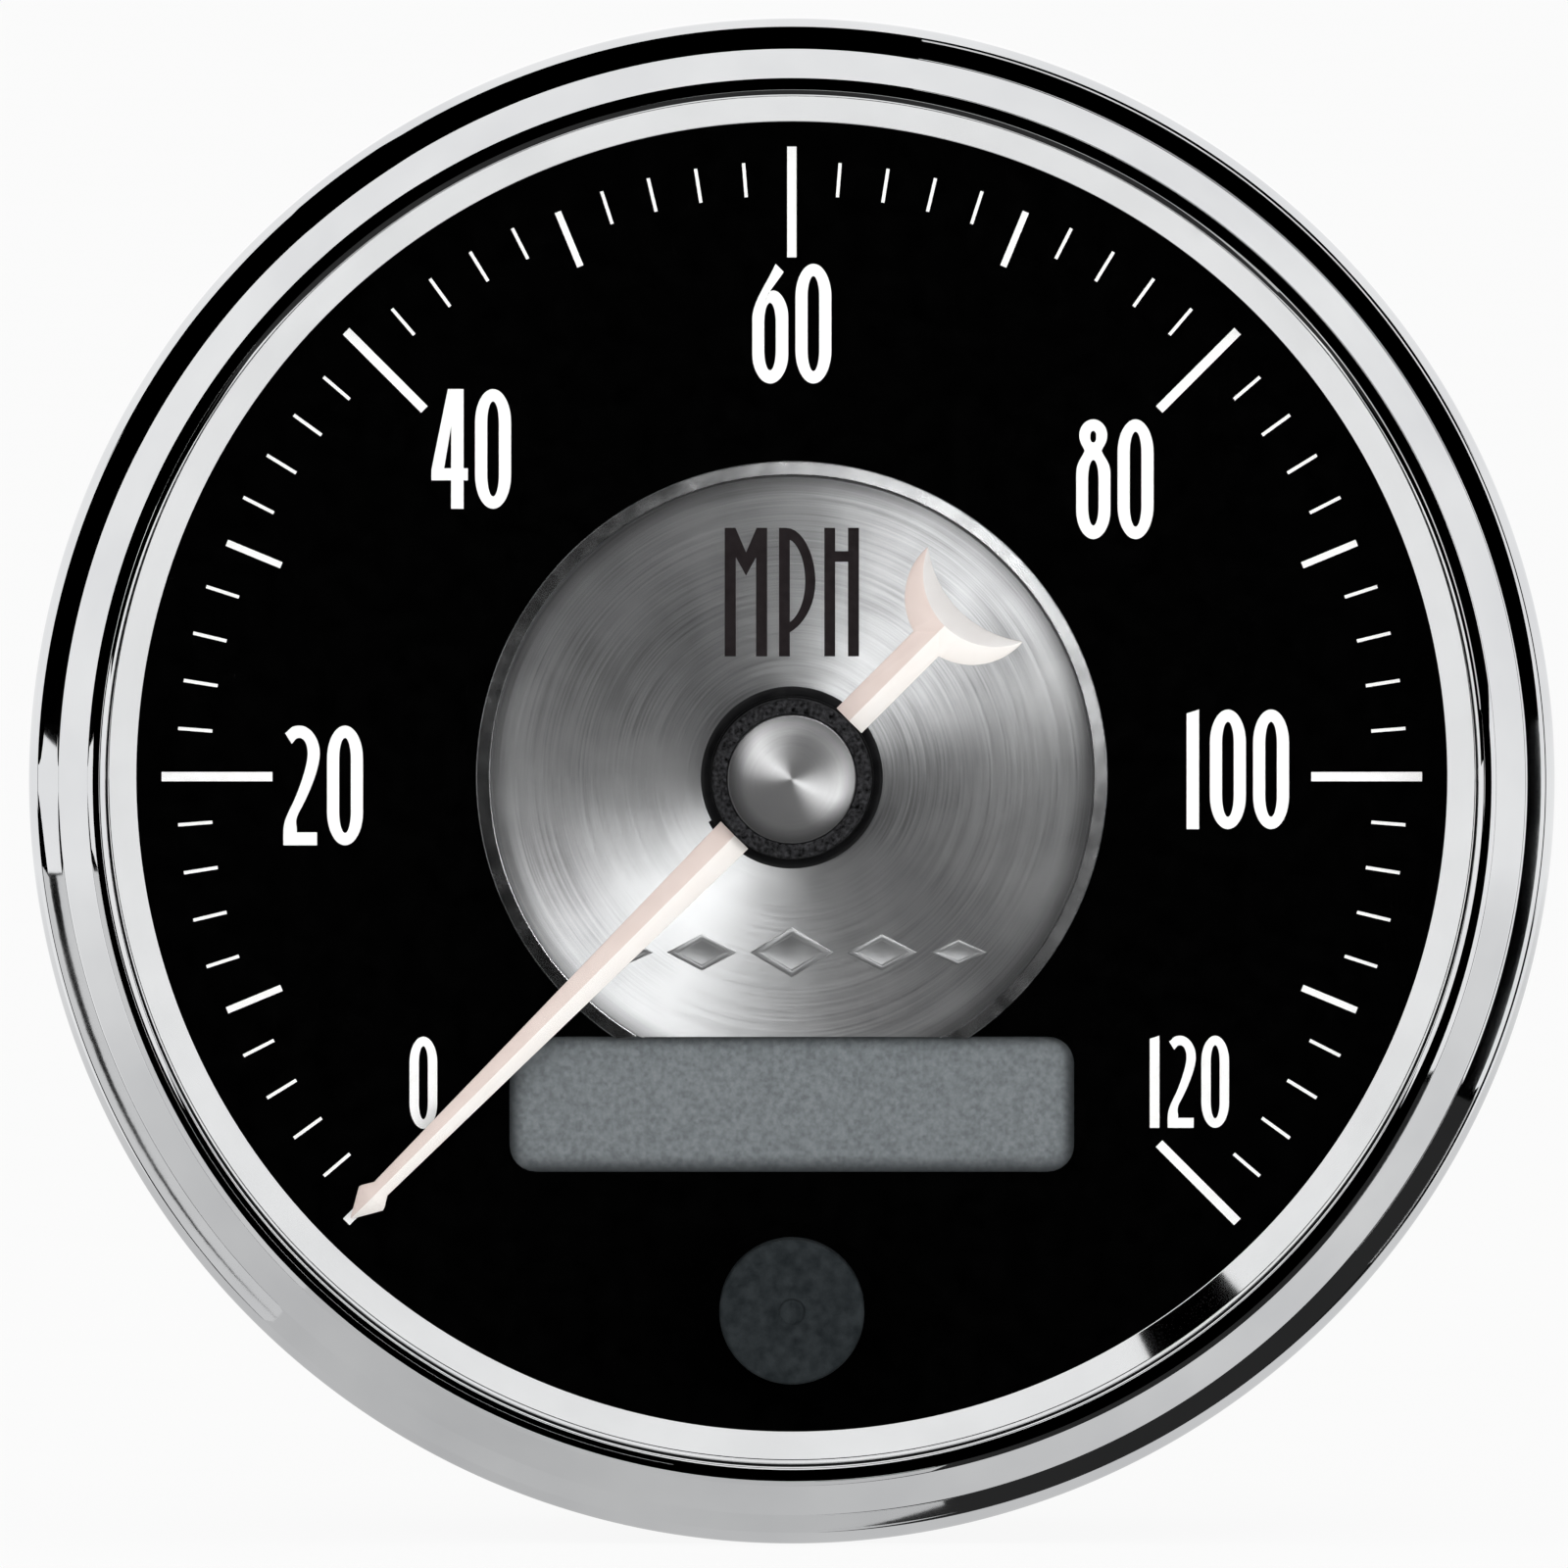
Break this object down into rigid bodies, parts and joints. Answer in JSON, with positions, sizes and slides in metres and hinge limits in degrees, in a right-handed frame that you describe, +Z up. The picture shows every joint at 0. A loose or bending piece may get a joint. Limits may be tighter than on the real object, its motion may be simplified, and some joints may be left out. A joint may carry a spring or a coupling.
{
  "type": "panel speedometer",
  "caption": "Round panel-mounted electric speedometer with a chromed bezel, black dial, faceted pointer, mileage display, reset button and a clamp behind the panel.",
  "frame": {"origin": "centre of the panel hole, on the front face of the panel where the bezel rests", "axes": "+Z up towards twelve o'clock on the dial, +X to the right seen from the front, +Y from the dial back through the panel"},
  "size_m": [0.0914, 0.0696, 0.0914],
  "materials": {
    "bright_chrome": "polished chrome plate",
    "polished_trim": "polished bright metal",
    "clear_glass": "clear flat glass",
    "black_rubber": "soft matt rubber",
    "dial_black": "smooth black enamel",
    "dial_print": "white printing ink",
    "spun_aluminium": "spun with fine concentric lines",
    "ornament_metal": "polished raised faces",
    "display_glass": "grey display behind a matt front",
    "black_plastic": "moulded",
    "diffuser_plastic": "milky clear plastic",
    "gilt_metal": "gilt",
    "white_plastic": "moulded",
    "board_laminate": "solder-masked laminate",
    "zinc_steel": "bright zinc plate",
    "capacitor_sleeve": "shrunk plastic sleeve",
    "socket_plastic": "moulded nylon",
    "button_plastic": "fine moulded grain",
    "iron_core": "dark iron",
    "copper_wire": "enamelled copper wire",
    "hub_black": "black with a fine grain",
    "pointer_enamel": "cream enamel on folded facets",
    "case_plastic": "black moulded"
  },
  "bodies": {
    "gauge_body": {"bezel": "bright_chrome", "lens": "clear_glass", "lens_gasket": "black_rubber", "trim_ring": "polished_trim", "dial_plate": "dial_black", "dial_marks": "dial_print", "center_medallion": "spun_aluminium", "medallion_ornament": "ornament_metal", "lcd_panel": "display_glass", "lcd_holder": "black_plastic", "lcd_backlight": "diffuser_plastic", "lcd_pins": "gilt_metal", "light_tray": "white_plastic", "circuit_board": "board_laminate", "board_screws": "zinc_steel", "dial_leds": "diffuser_plastic", "processor_chip": "black_plastic", "driver_chip": "black_plastic", "voltage_regulator": "black_plastic", "timing_crystal": "spun_aluminium", "filter_capacitors": "capacitor_sleeve", "connector_socket": "socket_plastic", "connector_pins": "gilt_metal", "reset_switch_body": "black_plastic", "motor_base": "white_plastic", "motor_cover": "white_plastic", "motor_pins": "gilt_metal", "stator_core": "iron_core", "coil_bobbins": "white_plastic", "coil_windings": "copper_wire", "rotor_pin": "zinc_steel", "idler_pin": "zinc_steel", "spindle_bushing": "gilt_metal", "rear_case": "case_plastic", "front_ring": "case_plastic", "mounting_studs": "zinc_steel"},
    "pointer_assembly": {"output_gear": "white_plastic", "spindle": "zinc_steel", "hub_base": "hub_black", "pointer": "pointer_enamel", "hub_cover": "hub_black", "hub_cap": "spun_aluminium"},
    "idler": {"idler_gear": "white_plastic"},
    "rotor": {"rotor_magnet": "iron_core", "rotor_pinion": "white_plastic"},
    "button": {"reset_button": "button_plastic", "reset_switch_plunger": "white_plastic"},
    "clamp": {"mounting_bracket": "zinc_steel", "lock_washers": "zinc_steel", "clamp_nuts": "zinc_steel"}
  },
  "joints": [
    {"name": "pointer_sweep", "type": "hinge", "parent": "gauge_body", "child": "pointer_assembly", "pos_m": [0, 0, 0], "axis": [0, 1, 0], "range_deg": [0, 270]},
    {"name": "idler_turn", "type": "hinge", "parent": "gauge_body", "child": "idler", "pos_m": [0, 0, 0.009], "axis": [0, 1, 0], "range_deg": [-1350, 0]},
    {"name": "rotor_turn", "type": "hinge", "parent": "gauge_body", "child": "rotor", "pos_m": [0, 0, 0.018], "axis": [0, 1, 0], "range_deg": [0, 6750]},
    {"name": "button_press", "type": "slide", "parent": "gauge_body", "child": "button", "axis": [0, 1, 0], "range_m": [0, 0.0012], "stiffness_N_per_m": 400, "springref_m": -0.002},
    {"name": "clamp_slide", "type": "slide", "parent": "gauge_body", "child": "clamp", "axis": [0, 1, 0], "range_m": [-0.003, 0.045]}
  ],
  "couplings": [
    {"joint": "idler_turn", "follows": "pointer_sweep", "ratio": -5},
    {"joint": "rotor_turn", "follows": "pointer_sweep", "ratio": 25}
  ]
}
